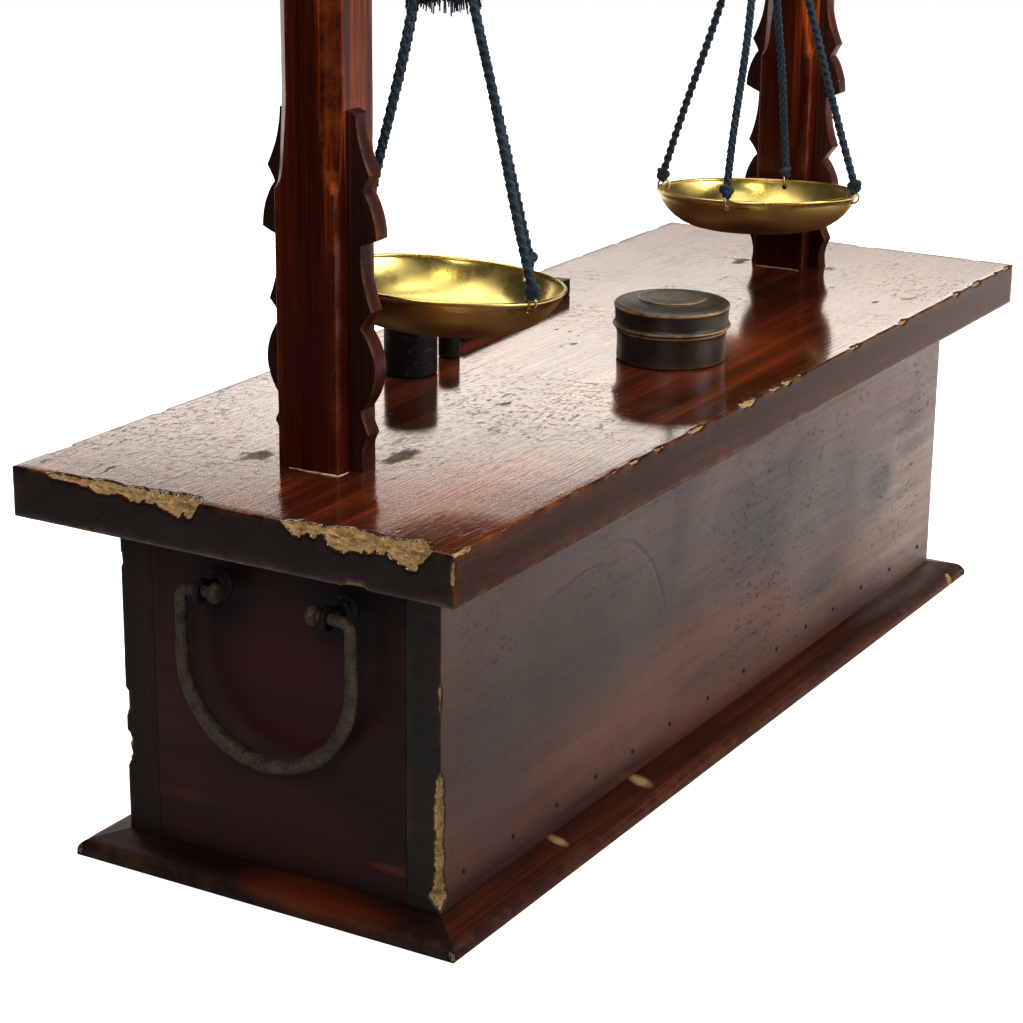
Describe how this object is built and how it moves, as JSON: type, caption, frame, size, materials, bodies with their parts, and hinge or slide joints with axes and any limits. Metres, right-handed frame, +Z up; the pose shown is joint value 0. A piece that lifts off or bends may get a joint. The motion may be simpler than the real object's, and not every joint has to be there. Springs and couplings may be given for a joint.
{
  "type": "bench balance",
  "caption": "Old money changer's bench balance: lacquered drawer case with overhanging top, carved post frame, hung brass beam, corded brass pans, iron end handles and small loose pieces.",
  "frame": {"origin": "on the floor under the middle of the top board", "axes": "+Z up; +X along the case, away from the near end handle; +Y towards the drawer side, so -Y is the plain back"},
  "size_m": [0.814, 0.295, 0.804],
  "materials": {
    "wood_top": "worn lacquer, glossy",
    "wood_dark": "dark worn lacquer",
    "wood_back": "hazy dark lacquer",
    "wood_post": "glossy red-brown lacquer",
    "wood_raw": "bare inner wood",
    "iron": "dark pitted wrought iron",
    "brass": "aged, rubbed bright",
    "cord": "indigo braided cord",
    "lacquer": "turned, dark patina"
  },
  "bodies": {
    "case_and_frame": {"top_board": "wood_top", "end_panel_near": "wood_dark", "end_panel_far": "wood_dark", "back_board": "wood_back", "bottom_board": "wood_raw", "divider": "wood_raw", "stile_near": "wood_dark", "stile_far": "wood_dark", "top_rail": "wood_dark", "plinth_back": "wood_top", "plinth_front": "wood_top", "plinth_near": "wood_top", "plinth_far": "wood_top", "post_near": "wood_post", "post_far": "wood_post", "wing_near_back": "wood_post", "wing_near_front": "wood_post", "wing_far_back": "wood_post", "wing_far_front": "wood_post", "crossbeam": "wood_post", "apron": "wood_post", "handle_near_eyes": "iron", "handle_far_eyes": "iron", "hanger": "iron"},
    "drawer_near": {"drawer_near_front": "wood_dark", "drawer_near_sides": "wood_raw", "drawer_near_back": "wood_raw", "drawer_near_bottom": "wood_raw", "pull_near_eyes": "brass"},
    "drawer_far": {"drawer_far_front": "wood_dark", "drawer_far_sides": "wood_raw", "drawer_far_back": "wood_raw", "drawer_far_bottom": "wood_raw", "pull_far_eyes": "brass"},
    "drawer_near_pull": {"pull_near_bail": "brass"},
    "drawer_far_pull": {"pull_far_bail": "brass"},
    "near_handle": {"handle_near_bail": "iron"},
    "far_handle": {"handle_far_bail": "iron"},
    "needle_housing": {"stirrup": "brass", "fixed_needle": "iron"},
    "balance_beam": {"beam": "brass", "beam_pivot": "iron", "beam_needle": "iron"},
    "near_link": {"link_near": "brass"},
    "far_link": {"link_far": "brass"},
    "near_pan_set": {"shackle_near": "brass", "tassel_near": "cord", "cords_near": "cord", "pan_near": "brass", "pan_rings_near": "iron"},
    "far_pan_set": {"shackle_far": "brass", "tassel_far": "cord", "cords_far": "cord", "pan_far": "brass", "pan_rings_far": "iron"},
    "round_box": {"box_body": "lacquer"},
    "round_box_lid": {"box_lid": "lacquer"},
    "large_weight": {"weight_large": "iron"},
    "small_weight": {"weight_small": "iron"},
    "low_bar": {"dark_bar": "lacquer"}
  },
  "joints": [
    {"name": "near_drawer_slide", "type": "slide", "parent": "case_and_frame", "child": "drawer_near", "axis": [0, 1, 0], "range_m": [0, 0.15]},
    {"name": "far_drawer_slide", "type": "slide", "parent": "case_and_frame", "child": "drawer_far", "axis": [0, 1, 0], "range_m": [0, 0.15]},
    {"name": "near_pull_swing", "type": "hinge", "parent": "drawer_near", "child": "drawer_near_pull", "pos_m": [-0.1725, 0.12, 0.122], "axis": [1, 0, 0], "range_deg": [0, 90]},
    {"name": "far_pull_swing", "type": "hinge", "parent": "drawer_far", "child": "drawer_far_pull", "pos_m": [0.1725, 0.12, 0.122], "axis": [1, 0, 0], "range_deg": [0, 90]},
    {"name": "near_handle_swing", "type": "hinge", "parent": "case_and_frame", "child": "near_handle", "pos_m": [-0.376, -0.004, 0.184], "axis": [0, 1, 0], "range_deg": [0, 110]},
    {"name": "far_handle_swing", "type": "hinge", "parent": "case_and_frame", "child": "far_handle", "pos_m": [0.376, -0.004, 0.184], "axis": [0, -1, 0], "range_deg": [0, 110]},
    {"name": "housing_swing", "type": "hinge", "parent": "case_and_frame", "child": "needle_housing", "pos_m": [0.005, -0.017, 0.729], "axis": [1, 0, 0], "range_deg": [-4, 4]},
    {"name": "beam_tilt", "type": "hinge", "parent": "needle_housing", "child": "balance_beam", "pos_m": [0.005, -0.017, 0.622], "axis": [0, 1, 0], "range_deg": [-8, 4]},
    {"name": "near_link_turn", "type": "hinge", "parent": "balance_beam", "child": "near_link", "pos_m": [-0.20883, -0.017, 0.6304], "axis": [0, 1, 0], "range_deg": [-9, 9]},
    {"name": "far_link_turn", "type": "hinge", "parent": "balance_beam", "child": "far_link", "pos_m": [0.21884, -0.017, 0.6136], "axis": [0, 1, 0], "range_deg": [-9, 9]},
    {"name": "near_pan_swing", "type": "hinge", "parent": "near_link", "child": "near_pan_set", "pos_m": [-0.20883, -0.017, 0.6044], "axis": [1, 0, 0], "range_deg": [-8, 8]},
    {"name": "far_pan_swing", "type": "hinge", "parent": "far_link", "child": "far_pan_set", "pos_m": [0.21884, -0.017, 0.5876], "axis": [1, 0, 0], "range_deg": [-8, 8]},
    {"name": "round_box_lift", "type": "slide", "parent": "case_and_frame", "child": "round_box", "axis": [0, 0, 1], "range_m": [0, 0.12]},
    {"name": "round_box_lid_lift", "type": "slide", "parent": "round_box", "child": "round_box_lid", "axis": [0, 0, 1], "range_m": [0, 0.06]},
    {"name": "large_weight_lift", "type": "slide", "parent": "case_and_frame", "child": "large_weight", "axis": [0, 0, 1], "range_m": [0, 0.12]},
    {"name": "small_weight_lift", "type": "slide", "parent": "case_and_frame", "child": "small_weight", "axis": [0, 0, 1], "range_m": [0, 0.12]},
    {"name": "low_bar_lift", "type": "slide", "parent": "case_and_frame", "child": "low_bar", "axis": [0, 0, 1], "range_m": [0, 0.05]}
  ],
  "couplings": [
    {"joint": "near_link_turn", "follows": "beam_tilt", "ratio": -1},
    {"joint": "far_link_turn", "follows": "beam_tilt", "ratio": -1}
  ]
}
